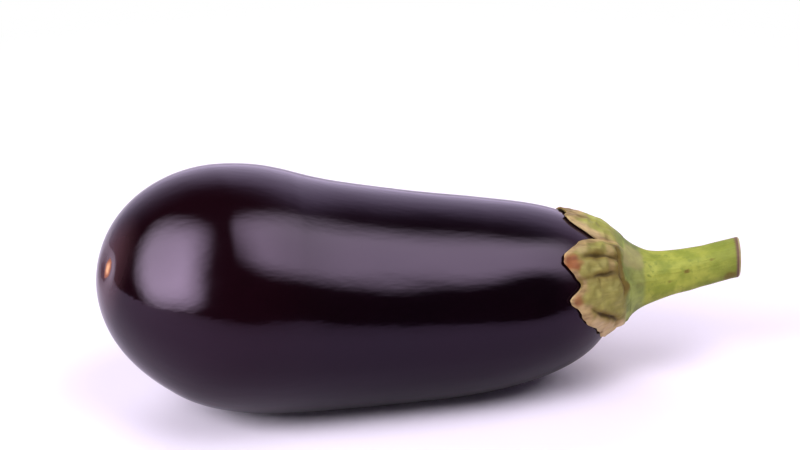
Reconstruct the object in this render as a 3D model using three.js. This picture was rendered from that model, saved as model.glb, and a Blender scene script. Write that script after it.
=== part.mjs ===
// An aubergine as picked, lying on its side: the fruit, and the green calyx that grew in one with its
// stem.
// Millimetres. +Z is up and +X points from the blossom end to the stem. The part rests on z = 0, with the
// origin under the middle of its length and width.

import * as THREE from 'three';
import { ParametricGeometry } from 'three/addons/geometries/ParametricGeometry.js';
import { mergeVertices } from 'three/addons/utils/BufferGeometryUtils.js';

// ---- Driving dimensions: the line through the middle of the whole part ----

const MIDDLE_LINE = [
  [-115.2, -9.4, 62.4], // blossom end of the fruit
  [-84.6, -3, 52.5],
  [-54.6, 1, 42.9],
  [-24.6, 2.2, 38.6],
  [20.4, 2.2, 36.4],
  [70.4, 2.2, 39.4], // stem end of the fruit
  [84.4, 2.2, 39.5],
  [100.4, 2.2, 41.7],
  [117.4, 2.2, 45.5], // cut end of the stem
];
const FRUIT_LENGTH = 190.1; // along the middle line, from pole to pole

// ---- Driving dimensions: the fruit ----

const BELLY_RADIUS = 44.2;
const BELLY_AT = 53.6; // from the blossom end, as all places along the fruit
const NECK_RADIUS = 37.9;
const NECK_AT = 120.7;
const NECK_TAPER = 0.09; // radius lost per millimetre there
const BLOSSOM_ROUNDNESS = 26.5; // the larger, the blunter that end
const STEM_END_ROUNDNESS = 26.8;
const BELLY_RUN = [27.5, 14]; // how far the belly's roundness reaches before and after its widest place
const NECK_RUN = [53.6, 47]; // how far the straight taper of the neck reaches, each way
const DIMPLE_DEPTH = 1.3; // the hollow round the blossom scar
const DIMPLE_RADIUS = 9;
const SCAR_RADIUS = 3.8;
const SCAR_RISE = 0.45; // the scar stands up inside the hollow
const SCAR_TOWARD = [0.4, 3.4]; // off the pole, up and to the side at angle 90
const UNEVENNESS = 0.35; // faint lengthwise waves of a grown skin

// ---- Driving dimensions: the calyx and stem ----

const SKIN_GAP = 0.35; // between the calyx and the skin under it
const CREASE_AT = 13.4; // along the skin from the stem end, where the lobes leave the cup
const ROOT_THICKNESS = 2.1; // of a lobe, at the crease
const EDGE_THICKNESS = 0.9;
const PLEAT_HEIGHT = 0.8;
const PLEATS = 15;
const EDGE_WAVE = 0.7;
// Two Beziers for the side of the stem, each point a radius and a distance from the fruit.
const STEM_FLARE = [[13.4, 2.2], [10.2, 4.6], [8.1, 12], [7.9, 21]];
const STEM_TAPER = [[7.9, 21], [7.7, 28], [7, 36], [7.3, 46.6]];
const STEM_RIB = 0.35;
const CUT_SLANT = [0.19, -0.14]; // how much further the cut lies per radius, towards the top and -Y
const CUT_BEVEL = 0.9;
const CUT_HOLLOW = 0.4; // the pith dries and sinks in the middle of the cut

// Five lobes. tip and gap are the angles round the stem, in degrees from the top towards -Y, of the lobe's
// point and of the gap after it, and reach and notch are how far along the skin from the stem end they lie.
// The larger fullness is, the blunter the lobe. buttress is how far its root stands proud, and swell how
// far the bulge past the crease does. arch and lift are how far its middle and its edge stand off the
// skin, and curl how far its point turns up beyond that.
const LOBES = [
  {
    tip: -19, reach: 34, gap: 20.5, notch: 22.3, fullness: 5.5,
    buttress: 4.2, swell: 0.2, arch: 0.5, lift: 0.2, curl: 0.5,
  },
  {
    tip: 45.5, reach: 38.6, gap: 66, notch: 34.6, fullness: 1.5,
    buttress: 0.8, swell: 1.1, arch: 0.3, lift: 0.2, curl: 0.5,
  },
  {
    tip: 74.5, reach: 38.6, gap: 150, notch: 16, fullness: 0.9,
    buttress: 3.1, swell: 0.9, arch: 0.3, lift: 0, curl: 0.3,
  },
  {
    tip: 232, reach: 37, gap: 258, notch: 21, fullness: 0.9,
    buttress: 5.2, swell: 0.8, arch: 0.4, lift: 0.5, curl: 0.9,
  },
  {
    tip: 284, reach: 38, gap: 310, notch: 22, fullness: 1.4,
    buttress: 2.2, swell: 0.5, arch: 0.8, lift: 0.8, curl: 1.4,
  },
];
const SWELL_AT = 0.32; // share of the way from the crease to the edge
const SWELL_WIDTH = 0.13;

// ---- How finely each surface is divided ----

const FRUIT_COLUMNS = 48;
const FRUIT_ROWS = 40;
const CALYX_COLUMNS = 96;

const TAU = 2 * Math.PI;
const mix = THREE.MathUtils.lerp;
const radians = THREE.MathUtils.degToRad;

// ---- The middle line, and points round it ----

const middleLine = new THREE.CatmullRomCurve3(MIDDLE_LINE.map((p) => new THREE.Vector3(...p)));
middleLine.arcLengthDivisions = 600;
const lineLength = middleLine.getLength();

// The point at a distance along the middle line and a radius from it. Angle 0 is up, a quarter turn is -Y.
function aroundLine(along, radius, angle) {
  const at = THREE.MathUtils.clamp(along / lineLength, 0, 1);
  const centre = middleLine.getPointAt(at);
  const forward = middleLine.getTangentAt(at);
  centre.addScaledVector(forward, along - at * lineLength);
  const side = new THREE.Vector3().crossVectors(forward, new THREE.Vector3(0, 0, 1)).normalize();
  const up = new THREE.Vector3().crossVectors(side, forward);
  centre.addScaledVector(up, radius * Math.cos(angle));
  return centre.addScaledVector(side, radius * Math.sin(angle));
}

// ---- The skin of the fruit ----

// Half of its lengthwise section: x is the radius, and y the distance along the middle line.
const outline = new THREE.Path();
outline.moveTo(0, 0);
outline.bezierCurveTo(BLOSSOM_ROUNDNESS, 0, BELLY_RADIUS, BELLY_AT - BELLY_RUN[0], BELLY_RADIUS, BELLY_AT);
outline.bezierCurveTo(
  BELLY_RADIUS, BELLY_AT + BELLY_RUN[1],
  NECK_RADIUS + NECK_RUN[0] * NECK_TAPER, NECK_AT - NECK_RUN[0],
  NECK_RADIUS, NECK_AT,
);
outline.bezierCurveTo(
  NECK_RADIUS - NECK_RUN[1] * NECK_TAPER, NECK_AT + NECK_RUN[1],
  STEM_END_ROUNDNESS, FRUIT_LENGTH,
  0, FRUIT_LENGTH,
);
const outlineLength = outline.getLength();

function smoothHump(distance, radius) {
  const t = Math.min(distance / radius, 1);
  return 0.5 + 0.5 * Math.cos(Math.PI * t);
}

// How far the skin at a point stands off the plain section: the waves, the hollow and the scar in it.
function relief(fromBlossom, angle) {
  const share = fromBlossom / outlineLength;
  const waves = Math.cos(3 * angle + 0.3) + 0.6 * Math.cos(5 * angle - 0.4 + 2 * share);
  const fade = Math.sin(Math.PI * share) ** 2;
  const up = fromBlossom * Math.cos(angle) - SCAR_TOWARD[0];
  const across = fromBlossom * Math.sin(angle) - SCAR_TOWARD[1];
  const fromScar = Math.hypot(up, across);
  const hollow = -DIMPLE_DEPTH * smoothHump(fromScar, DIMPLE_RADIUS);
  const scar = SCAR_RISE * smoothHump(fromScar, SCAR_RADIUS);
  return UNEVENNESS * waves * fade + hollow + scar;
}

// The point over the skin at a height, given how far it is along the section from the blossom end.
function overSkin(fromBlossom, angle, height) {
  const share = THREE.MathUtils.clamp(fromBlossom / outlineLength, 0, 1);
  const at = outline.getPointAt(share);
  const run = outline.getTangentAt(share);
  const total = height + relief(fromBlossom, angle);
  return aroundLine(at.y - total * run.x, at.x + total * run.y, angle);
}

function fruitSurface(u, v, target) {
  const poleToPole = 0.5 - 0.5 * Math.cos(Math.PI * v);
  const share = mix(v, poleToPole, 0.5);
  target.copy(overSkin(share * outlineLength, u * TAU, 0));
  target.z = Math.max(target.z, 0); // pressed flat where it rests
}

// ---- The calyx ----

// The lobe at an angle and the one over the gap beside it, with how far that angle is from the lobe's
// tip (0) to the gap (1).
function lobeAt(angle) {
  const first = LOBES[0].tip;
  const turn = THREE.MathUtils.euclideanModulo(THREE.MathUtils.radToDeg(angle) - first, 360) + first;
  const index = LOBES.findLastIndex((lobe) => lobe.tip <= turn);
  const before = LOBES[index];
  const after = LOBES[(index + 1) % LOBES.length];
  const nextTip = index + 1 < LOBES.length ? after.tip : after.tip + 360;
  const notch = before.notch;
  if (turn < before.gap) {
    return { lobe: before, other: after, notch, x: (turn - before.tip) / (before.gap - before.tip) };
  }
  return { lobe: after, other: before, notch, x: (nextTip - turn) / (nextTip - before.gap) };
}

// A measure of the lobes that passes smoothly from each lobe's own value at its tip to the next one's.
function blended(angle, measure) {
  const { lobe, other, x } = lobeAt(angle);
  return mix(lobe[measure], (lobe[measure] + other[measure]) / 2, x * x * (3 - 2 * x));
}

function lobeReach(angle) {
  const { lobe, notch, x } = lobeAt(angle);
  const wave = EDGE_WAVE * (Math.sin(9 * angle + 0.5) + 0.6 * Math.sin(16 * angle));
  return mix(lobe.reach, notch, x ** lobe.fullness) + wave * x * (1 - x) * 4;
}

// How far the underside of a lobe stands off the skin, at part t of the way from the crease to its edge.
function lobeLift(t, angle) {
  const { lobe, x } = lobeAt(angle);
  const arch = blended(angle, 'arch') * Math.sin(Math.PI * t);
  const curl = lobe.curl * (1 - x) ** 1.5 * t ** 5;
  return SKIN_GAP + arch + blended(angle, 'lift') * t ** 2 + curl;
}

// How far the outside of a lobe stands off its underside: swollen at the root, pleated, and thin at the
// edge.
function lobeThickness(t, angle) {
  const root = blended(angle, 'buttress') * (1 - t) ** 2;
  const swell = blended(angle, 'swell') * Math.exp(-(((t - SWELL_AT) / SWELL_WIDTH) ** 2));
  const alongLobe = Math.sin(Math.PI * Math.min(t + 0.08, 1));
  const pleats = PLEAT_HEIGHT * (0.5 + 0.5 * Math.cos(PLEATS * angle)) * alongLobe;
  return mix(ROOT_THICKNESS, EDGE_THICKNESS, t) + (root + swell + pleats) * (1 - t ** 6);
}

function lobePoint(t, angle, height) {
  const fromStemEnd = mix(CREASE_AT, lobeReach(angle), t);
  return overSkin(outlineLength - fromStemEnd, angle, height);
}

function lobeOutside(t, angle) {
  return lobePoint(t, angle, lobeLift(t, angle) + lobeThickness(t, angle));
}

// ---- The stem ----

const stemSide = new THREE.CurvePath();
for (const points of [STEM_FLARE, STEM_TAPER]) {
  stemSide.add(new THREE.CubicBezierCurve(...points.map((p) => new THREE.Vector2(...p))));
}
const [cutRadius, cutAt] = STEM_TAPER.at(-1);

// A point of the stem, slid along it near the end, where the cut is not quite square.
function stemPoint(fromFruit, radius, angle) {
  const slant = CUT_SLANT[0] * Math.cos(angle) + CUT_SLANT[1] * Math.sin(angle);
  const nearCut = Math.min(fromFruit / cutAt, 1) ** 4;
  return aroundLine(FRUIT_LENGTH + fromFruit + radius * slant * nearCut, radius, angle);
}

// The side of the cup and stem, from the crease to the cut.
function stemOutside(way, angle) {
  const at = stemSide.getPointAt(way);
  const rib = STEM_RIB * Math.cos(5 * (angle - radians(LOBES[1].tip))) * Math.sin(Math.PI * way);
  const root = blended(angle, 'buttress') * (1 - way) ** 4;
  const atCrease = Math.max(1 - way * 9, 0) ** 2;
  return stemPoint(at.y, at.x + rib + root, angle).lerp(lobeOutside(0, angle), atCrease);
}

function cutFace(way, angle) {
  const flat = cutRadius - CUT_BEVEL;
  const radius = flat * (1 - way);
  const sink = CUT_HOLLOW * smoothHump(radius, flat);
  return stemPoint(cutAt + CUT_BEVEL - sink, radius, angle);
}

// The stages of the calyx's surface, from its middle under the cup, out to the edge, back, and up to the
// cut. Each gives the point at part t of its way.
const CALYX_STAGES = [
  { rows: 3, place: (t, angle) => overSkin(outlineLength - t * CREASE_AT, angle, SKIN_GAP) },
  { rows: 7, place: (t, angle) => lobePoint(t, angle, lobeLift(t, angle)) },
  { rows: 9, place: (t, angle) => lobeOutside(1 - t, angle) },
  { rows: 13, place: stemOutside },
  { rows: 3, place: cutFace },
];
const CALYX_ROWS = CALYX_STAGES.reduce((sum, stage) => sum + stage.rows + 1, -1);

// Each stage has a row at both its ends, so the edge of the lobes and the bevel of the cut lie between
// two.
function calyxSurface(u, v, target) {
  let row = Math.round(v * CALYX_ROWS);
  for (const stage of CALYX_STAGES) {
    if (row <= stage.rows) {
      target.copy(stage.place(row / stage.rows, u * TAU));
      return;
    }
    row -= stage.rows + 1;
  }
}

// ---- The two pieces ----

// A closed body from a surface function: the seam and the poles are merged, and the triangles that this
// leaves without area go.
function closedBody(surface, columns, rows) {
  const sheet = new ParametricGeometry(surface, columns, rows);
  sheet.deleteAttribute('normal');
  sheet.deleteAttribute('uv');
  const body = mergeVertices(sheet, 1e-3);
  const corners = [...body.index.array];
  const kept = [];
  for (let i = 0; i < corners.length; i += 3) {
    const [a, b, c] = corners.slice(i, i + 3);
    if (a !== b && b !== c && c !== a) {
      kept.push(a, b, c);
    }
  }
  body.setIndex(kept);
  body.computeVertexNormals();
  return body;
}

function piece(name, geometry, look) {
  const mesh = new THREE.Mesh(geometry, new THREE.MeshStandardMaterial({ ...look, metalness: 0 }));
  mesh.name = name;
  return mesh;
}

const fruit = closedBody(fruitSurface, FRUIT_COLUMNS, FRUIT_ROWS);
const calyx = closedBody(calyxSurface, CALYX_COLUMNS, CALYX_ROWS);

const aubergine = new THREE.Group();
aubergine.add(
  piece('fruit', fruit, { color: 0x1e0f1c, roughness: 0.18 }),
  piece('calyx_and_stem', calyx, { color: 0xa3a85a, roughness: 0.7 }),
);

export default aubergine;
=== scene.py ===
# An aubergine as picked, lying on its side: the glossy fruit, and the green calyx that grew in one with its
# stem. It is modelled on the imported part, in its frame: +Z up, +X from the blossom end to the stem.

import math

import bpy
import numpy as np
from mathutils import Matrix, Vector, noise


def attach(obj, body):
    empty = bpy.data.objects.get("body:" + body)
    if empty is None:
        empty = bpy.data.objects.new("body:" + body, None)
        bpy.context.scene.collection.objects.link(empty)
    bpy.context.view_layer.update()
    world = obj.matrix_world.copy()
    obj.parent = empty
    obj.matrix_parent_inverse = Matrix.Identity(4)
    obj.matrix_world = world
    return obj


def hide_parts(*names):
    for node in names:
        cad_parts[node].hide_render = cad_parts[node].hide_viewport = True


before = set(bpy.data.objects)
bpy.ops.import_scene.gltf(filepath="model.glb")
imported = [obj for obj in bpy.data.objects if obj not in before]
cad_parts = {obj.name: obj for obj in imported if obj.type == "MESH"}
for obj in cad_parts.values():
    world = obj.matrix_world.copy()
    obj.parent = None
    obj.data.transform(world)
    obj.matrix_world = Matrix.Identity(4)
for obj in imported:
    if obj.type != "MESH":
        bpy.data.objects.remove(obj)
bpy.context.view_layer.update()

MM = 0.001
TAU = 2 * math.pi

# ---- Sizes of the solid part, in millimetres and degrees ----

MIDDLE_LINE = [
    (-115.2, -9.4, 62.4),  # blossom end of the fruit
    (-84.6, -3, 52.5),
    (-54.6, 1, 42.9),
    (-24.6, 2.2, 38.6),
    (20.4, 2.2, 36.4),
    (70.4, 2.2, 39.4),  # stem end of the fruit
    (84.4, 2.2, 39.5),
    (100.4, 2.2, 41.7),
    (117.4, 2.2, 45.5),  # cut end of the stem
]
FRUIT_LENGTH = 190.1  # from pole to pole, along the middle line
BELLY_RADIUS = 44.2
BELLY_AT = 53.6  # distance from the blossom end
NECK_RADIUS = 37.9
NECK_AT = 120.7
NECK_TAPER = 0.09  # how steeply the neck narrows
BLOSSOM_ROUNDNESS = 26.5  # how far the outline's curve is pulled outwards at that pole
STEM_END_ROUNDNESS = 26.8
BELLY_RUN = (27.5, 14)  # how far the curve is pulled along before and after the belly
NECK_RUN = (53.6, 47)
DIMPLE_DEPTH = 1.3  # the shallow hollow that the scar lies in
DIMPLE_RADIUS = 9
SCAR_RADIUS = 3.8
SCAR_RISE = 0.45
SCAR_TOWARD = (0.4, 3.4)  # how far the scar lies off the pole, upwards and across
UNEVENNESS = 0.35  # height of the skin's low lengthwise ridges
# Those ridges, in two sets: how many go round, where they start, their share of the height, and their twist.
SKIN_RIDGES = [(3, 0.3, 1, 0), (5, -0.4, 0.6, 2)]

SKIN_GAP = 0.35  # between the calyx and the skin
CREASE_AT = 13.4  # distance from the stem end to the crease that the lobes start from
ROOT_THICKNESS = 2.1  # of a lobe at the crease
EDGE_WAVE = 0.7  # height of the rim's waves
# The stem's side, as curves through the radius and the distance past the fruit.
STEM_FLARE = [(13.4, 2.2), (10.2, 4.6), (8.1, 12), (7.9, 21)]
STEM_TAPER = [(7.9, 21), (7.7, 28), (7, 36), (7.3, 46.6)]
STEM_RIB = 0.35  # height of the stem's ribs
CUT_SLANT = (0.19, -0.14)  # slope of the cut, upwards and across
CUT_BEVEL = 0.9
BEVEL_SHARE = 0.25  # of the rows across the cut
CUT_HOLLOW = 0.4
SWELL_AT = 0.32  # where a lobe swells, as a share of the way from the crease to its tip
SWELL_WIDTH = 0.13

# The five lobes, nearly as in the solid part. tip and gap are the angles of a lobe's tip and of the gap after
# it, and reach and notch how far both are from the stem end. fullness is how round the lobe is, buttress how
# much thicker its root, swell how thick the fold across it, arch how far its middle stands off the skin, and
# lift how far its tip does. curl bends the tip further up. edge is how thick the rim still is, and margin how
# wide its dried border. fresh is how green the rest has stayed, and point how long the small tip at its end.
LOBES = [
    dict(tip=-19, reach=34, gap=20.5, notch=22.3, fullness=5.5,
         buttress=4.2, swell=0.2, arch=0.5, lift=0.1, curl=0.1, edge=0.8, margin=3.1, fresh=1, point=0.5),
    dict(tip=45.5, reach=38.6, gap=66, notch=34.6, fullness=1.7,
         buttress=0.8, swell=1.1, arch=0.3, lift=0.2, curl=0.5, edge=0.8, margin=2, fresh=0.2, point=1.5),
    dict(tip=74.5, reach=38.6, gap=150, notch=16, fullness=1.08,
         buttress=3.1, swell=0.9, arch=0.3, lift=0, curl=0.3, edge=0.6, margin=3.2, fresh=0.25, point=1.5),
    dict(tip=232, reach=37, gap=258, notch=21, fullness=0.9,
         buttress=5.2, swell=0.8, arch=0.4, lift=0.5, curl=0.9, edge=0.9, margin=2.8, fresh=0.4, point=1.6),
    dict(tip=284, reach=38, gap=310, notch=22, fullness=1.4,
         buttress=2.2, swell=0.5, arch=0.8, lift=0.8, curl=1.4, edge=1, margin=3, fresh=0.6, point=1.2),
]

# ---- Detail that only the looks carry, in millimetres and degrees ----

SCAR_SLIMNESS = 1.5  # how much longer the scar's cork is than wide
SKIN_WAVE = 0.12  # faint unevenness of the skin, in waves of the next size
SKIN_WAVE_SIZE = 22
CALM_SCAR, CALM_STEM_END = 25, 40  # it fades out this near to the scar and to the stem end
# Soft swellings of the skin: the distance from the stem end, the angle, half the length and half the width of
# each, and how far it stands out. Below zero it is a hollow.
SKIN_SWELLINGS = [
    (50, 44, 16, 9, 0.55), (54, 68, 20, 9, -0.6), (104, 56, 14, 8, -0.35), (150, 76, 28, 10, -0.3),
]

# Furrows pressed into the outside of the calyx. Each point is its distance along the skin from the stem end,
# its angle round the stem, and the depth there.
FURROWS = [
    [(34, 46.5, 0.2), (31.5, 44, 0.8), (27, 42.5, 1.1), (22, 41.5, 1.0), (18.5, 42.5, 0.5)],
    [(36.5, 61, 0.3), (33.5, 61.5, 0.8), (30, 61, 0.6), (26.5, 59.5, 1.1), (23, 58, 1.0), (20, 60, 0.5)],
    [(33.5, 82, 0.2), (31, 86, 0.8), (27, 92.5, 1.1), (23, 101, 1.0), (20, 109, 0.6)],
    [(27.8, 60, 0.6), (27.2, 64, 0.6), (27.8, 69.5, 0.2)],
    [(32.8, 65, 0.2), (33.6, 70, 0.6), (34.8, 75, 0.2)],
    [(18, 25, 0.0), (17.2, 34, 0.8), (16.4, 43, 1.1), (17.4, 53, 1.2), (18, 63, 1.1), (17.2, 72, 1.0),
     (16.6, 78, 0.5), (17.6, 86, 0.15), (18.2, 96, 0.0)],
    [(30, -4, 0.1), (24, 1, 0.25), (18, 5, 0.15)],
    [(26, 122, 0.2), (20, 128, 0.8), (15, 132, 0.4)],
    [(29, 205, 0.2), (24, 201, 0.8), (17, 198, 0.5)],
    [(34, 226, 0.2), (28, 224, 0.8), (18, 223, 0.6)],
    [(30, 241, 0.2), (24, 244, 0.7), (17, 246, 0.4)],
    [(32, 272, 0.2), (26, 270, 0.8), (18, 268, 0.5)],
    [(34, 289, 0.2), (27, 291, 0.9), (18, 292, 0.5)],
    [(26, 318, 0.2), (20, 324, 0.7), (15, 327, 0.4)],
    [(15.6, 190, 0.2), (16, 215, 0.8), (16.4, 240, 0.7), (15.8, 262, 0.4), (16.2, 285, 0.7), (15, 305, 0.2)],
]
FURROW_WIDTH = 0.8  # half of it, as for the stain
FURROW_WANDER = 0.7  # how far a furrow strays from its drawn line
WANDER_SIZE = 4  # length of its bends, and of those in the dried border
LIP_AT = 2.3  # a furrow's lips stand proud this far from its middle
LIP_SHARE = 0.35  # of the furrow's depth
LIP_SPREAD = 1.5  # how softly a lip rises and falls, in square millimetres
STAIN_WIDTH = 1.8  # brown that spreads out from each furrow
STAIN_RAGGEDNESS = 0.3
CRINKLE_HEIGHT = 0.38  # sharp little folds of the dried lobes
CRINKLE_SIZES = (5, 2.2)
CRINKLE_START = (16, 22)  # how far from the stem end the crinkles begin and are at their full height
POINT_WIDTH = 2.6  # half the width of the small point that each lobe ends in
FIBRE_HEIGHT = 0.1  # lengthwise fibres that show on the dried lobes
FIBRE_SIZE = 1.2
FIBRE_STRETCH = 5  # how much longer than wide they are
FIBRE_ROUND = 20  # radius of the cylinder that they are drawn on
EDGE_NIBBLE = 0.4  # small tears and teeth of the rim
# The rim's waves and its teeth: how many go round, where they start, and their share of the height.
RIM_WAVES = [(9, 0.5, 1), (16, 0, 0.6)]
RIM_TEETH = [(37, 1, 0.5), (61, 0, 0.3), (23, 2, 0.3)]
STEM_LUMP = 0.22
STEM_LUMP_SIZE = 5
MARGIN_WANDER = 0.5  # how much the dried border varies, as a share of its width
BORDER_FADE = (0.4, 1.2)  # where it starts and ends fading into the lobe, as a share of its width too
CONE_END = (15, 18)  # how far from the stem end the cone between the stem and the lobes fades out
RAGGED_SIZE = 2.5  # size of the raggedness of all that is coloured

# Colour laid on the calyx in soft dabs: the distance from the stem end, the angle, half the dab's length and
# half its width, and how strong it is. Below zero the distance runs up the stem.
# Rust lies at the lobes' tips, tan along their dried rims, pale where they bleached, and brown in the crease,
# in bruises on the lobes and in the specks on the stem. Three pale dabs are painted highlights and painted
# light instead, and one brown dab is painted shade, as noted at each list.
DAB_FADE = (0.55, 1.25)  # where a dab starts and ends fading, as a share of its half size
DAB_RAGGEDNESS = 0.35
RUST_DABS = [
    (37.4, 48.5, 3.6, 3.4, 1), (37, 75.5, 2.2, 2.4, 0.8), (36, -18, 3.2, 3, 0.55), (34.5, 226, 3, 3.4, 0.9),
    (35.5, 284, 3, 3.4, 0.8),
]
TAN_DABS = [
    (34, 33, 4, 5, 0.2), (33.5, 88, 3, 3.5, 1), (29.5, 98, 3.2, 4, 1), (25, 110, 3, 4.5, 1),
    (20.5, 122, 3, 4.5, 0.9), (33, -14, 7, 9, 1), (21.3, 37, 1.3, 4, 0.7), (22.3, 50, 1.3, 4, 0.7),
    (30, 240, 3.5, 4, 0.7), (31, 272, 3.5, 4, 0.7), (26, 318, 4, 4, 0.6),
]
BLEACH_AND_PAINTED_LIGHT_DABS = [
    # The dabs at (33, 38.5) and (38, 71) are painted highlights on the second and third lobes, and the one at
    # (10, 26) is painted light on the cone's top.
    (33, 38.5, 2, 2.4, 0.3), (29, 101, 3, 5, 0.5), (24, 114, 3, 5, 0.55),
    (19.5, 127, 3, 5, 0.6), (38, 71, 1.4, 1.6, 0.5), (29, 10, 3.5, 2, 0.3), (26, 17, 3, 2, 0.5),
    (10, 26, 5, 5, 0.3), (35, 236, 2, 3, 0.5), (33, 280, 2, 3, 0.5), (28, 314, 3, 4, 0.5),
]
BROWN_AND_SHADE_DABS = [
    (27.5, 29, 2.5, 2.5, 0.4), (33, 33, 2.5, 2, 0.3),
    (17.6, 32, 2.6, 3.4, 0.9), (17, 43, 3.2, 4, 1), (17.6, 54, 2.8, 3.4, 1), (17.8, 65, 2.6, 3.2, 0.9),
    # The dab at (8, 58) is painted shade on the middle of the cone.
    (16.4, 74.5, 2.6, 2.6, 1), (8, 58, 3.5, 5, 0.25), (34, -16, 4, 8, 0.75), (31, -2, 5, 4.5, 0.5),
    (35.4, 64, 1.4, 2.4, 0.8), (16, 226, 1.6, 4, 0.9), (16, 286, 1.5, 4, 0.8), (-12, 66, 1.1, 0.8, 0.9),
    (-5, 84, 0.8, 0.6, 0.6), (-22, 50, 0.9, 0.6, 0.6), (-18, 240, 1.2, 0.8, 0.8), (-27, 150, 1, 0.7, 0.7),
    (-9, 330, 1, 0.7, 0.7), (-28.5, 118, 3, 2.2, 0.8),
]

# ---- The camera, in metres and degrees ----

CAMERA_AT = (-0.1122, -0.7329, 0.3966)
CAMERA_TARGET = (-0.0091, 0.0007, 0.0667)
CAMERA_FIELD = 20
CAMERA_NEAREST = 0.01


# ---- Small tools ----

def linear(hex_colour):
    """Turns an sRGB hex colour to the linear RGBA that the shader sockets take."""
    channels = [int(hex_colour[i:i + 2], 16) / 255 for i in (1, 3, 5)]
    return [c / 12.92 if c <= 0.04045 else ((c + 0.055) / 1.055) ** 2.4 for c in channels] + [1]


def mix(a, b, share):
    return a + (b - a) * share


def smooth_hump(distance, radius):
    """1 in the middle, and 0 from the radius on."""
    return 0.5 + 0.5 * np.cos(np.pi * np.minimum(distance / radius, 1))


def smooth_step(low, high, value):
    """0 up to low, and 1 from high on."""
    share = np.clip((value - low) / (high - low), 0, 1)
    return share * share * (3 - 2 * share)


def rippled(angle, waves):
    """Waves round the middle line: how many, where they start, and their share of the height."""
    return sum(part * np.sin(count * angle + start) for count, start, part in waves)


def turned(angle, degrees):
    """How far on from each angle a direction in degrees lies, from minus to plus half a turn."""
    return (np.radians(degrees) - angle + math.pi) % TAU - math.pi


def noise_at(points, size, seed=0):
    """Soft noise from about -1 to 1 at points in millimetres, in lumps of the given size. Each seed gives a
    pattern of its own."""
    shift = Vector((seed * 17.3, seed * 5.1, -seed * 9.7))
    return np.array([noise.noise(Vector(p) / size + shift) for p in points])


class MeasuredLine:
    """A line of close points that gives a place or a heading by the distance along it."""

    def __init__(self, points):
        self.points = points
        steps = np.linalg.norm(np.diff(points, axis=0), axis=1)
        self.marks = np.concatenate([[0], np.cumsum(steps)])
        self.length = self.marks[-1]
        slope = np.gradient(points, self.marks, axis=0)
        self.headings = slope / np.linalg.norm(slope, axis=1)[:, None]

    def place(self, distance):
        return np.stack([np.interp(distance, self.marks, c) for c in self.points.T], axis=-1)

    def heading(self, distance):
        return np.stack([np.interp(distance, self.marks, c) for c in self.headings.T], axis=-1)


def bezier(points, count=300):
    """Points along the curve from the first point to the last, pulled towards the two between."""
    start, pull_start, pull_end, end = np.array(points, float)
    t = np.linspace(0, 1, count)[:, None]
    near_start = (1 - t) ** 3 * start + 3 * (1 - t) ** 2 * t * pull_start
    return near_start + 3 * (1 - t) * t ** 2 * pull_end + t ** 3 * end


def joined(*stretches):
    return MeasuredLine(np.concatenate([stretches[0]] + [s[1:] for s in stretches[1:]]))


def spline(points, count=200):
    """The centripetal Catmull-Rom spline through the points."""
    points = np.array(points, float)
    points = np.vstack([2 * points[0] - points[1], points, 2 * points[-1] - points[-2]])
    knots = np.linalg.norm(np.diff(points, axis=0), axis=1) ** 0.5
    stretches = []
    for i in range(1, len(points) - 2):
        last, start, end, following = points[i - 1:i + 3]
        before, here, after = knots[i - 1:i + 2]
        leave = (start - last) / before - (end - last) / (before + here) + (end - start) / here
        arrive = (end - start) / here - (following - start) / (here + after) + (following - end) / after
        stretches.append(bezier([start, start + leave * here / 3, end - arrive * here / 3, end], count))
    return joined(*stretches)


# ---- The line through the middle, and the skin round it ----

middle_line = spline(MIDDLE_LINE)

# Half the fruit's lengthwise section: the radius, and the distance along the middle line.
outline = joined(
    bezier([
        (0, 0), (BLOSSOM_ROUNDNESS, 0),
        (BELLY_RADIUS, BELLY_AT - BELLY_RUN[0]), (BELLY_RADIUS, BELLY_AT),
    ]),
    bezier([
        (BELLY_RADIUS, BELLY_AT), (BELLY_RADIUS, BELLY_AT + BELLY_RUN[1]),
        (NECK_RADIUS + NECK_RUN[0] * NECK_TAPER, NECK_AT - NECK_RUN[0]), (NECK_RADIUS, NECK_AT),
    ]),
    bezier([
        (NECK_RADIUS, NECK_AT), (NECK_RADIUS - NECK_RUN[1] * NECK_TAPER, NECK_AT + NECK_RUN[1]),
        (STEM_END_ROUNDNESS, FRUIT_LENGTH), (0, FRUIT_LENGTH),
    ]),
)
stem_side = joined(bezier(STEM_FLARE), bezier(STEM_TAPER))
CUT_RADIUS, CUT_AT = STEM_TAPER[-1]


def around_line(along, radius, angle):
    """Points this far along the middle line and this far from it. Angle 0 is up, and 90 degrees is -Y."""
    centre = middle_line.place(along)
    forward = middle_line.heading(along)
    centre = centre + forward * (along - np.clip(along, 0, middle_line.length))[:, None]
    side = np.cross(forward, (0, 0, 1))
    side /= np.linalg.norm(side, axis=1)[:, None]
    up = np.cross(side, forward)
    return centre + up * (radius * np.cos(angle))[:, None] + side * (radius * np.sin(angle))[:, None]


def from_scar(from_blossom, angle, slimness=1):
    """The distance from the scar's middle. With a slimness, it grows faster across."""
    up = from_blossom * np.cos(angle) - SCAR_TOWARD[0]
    across = from_blossom * np.sin(angle) - SCAR_TOWARD[1]
    return np.hypot(up, across * slimness)


def relief(from_blossom, angle):
    """How far the skin stands off the plain section: its ridges, the hollow and the scar in it."""
    share = from_blossom / outline.length
    ridges = sum(
        part * np.cos(count * angle + start + twist * share) for count, start, part, twist in SKIN_RIDGES
    )
    away = from_scar(from_blossom, angle)
    hollow = -DIMPLE_DEPTH * smooth_hump(away, DIMPLE_RADIUS)
    scar = SCAR_RISE * smooth_hump(away, SCAR_RADIUS)
    return UNEVENNESS * ridges * np.sin(np.pi * share) ** 2 + hollow + scar


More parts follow.
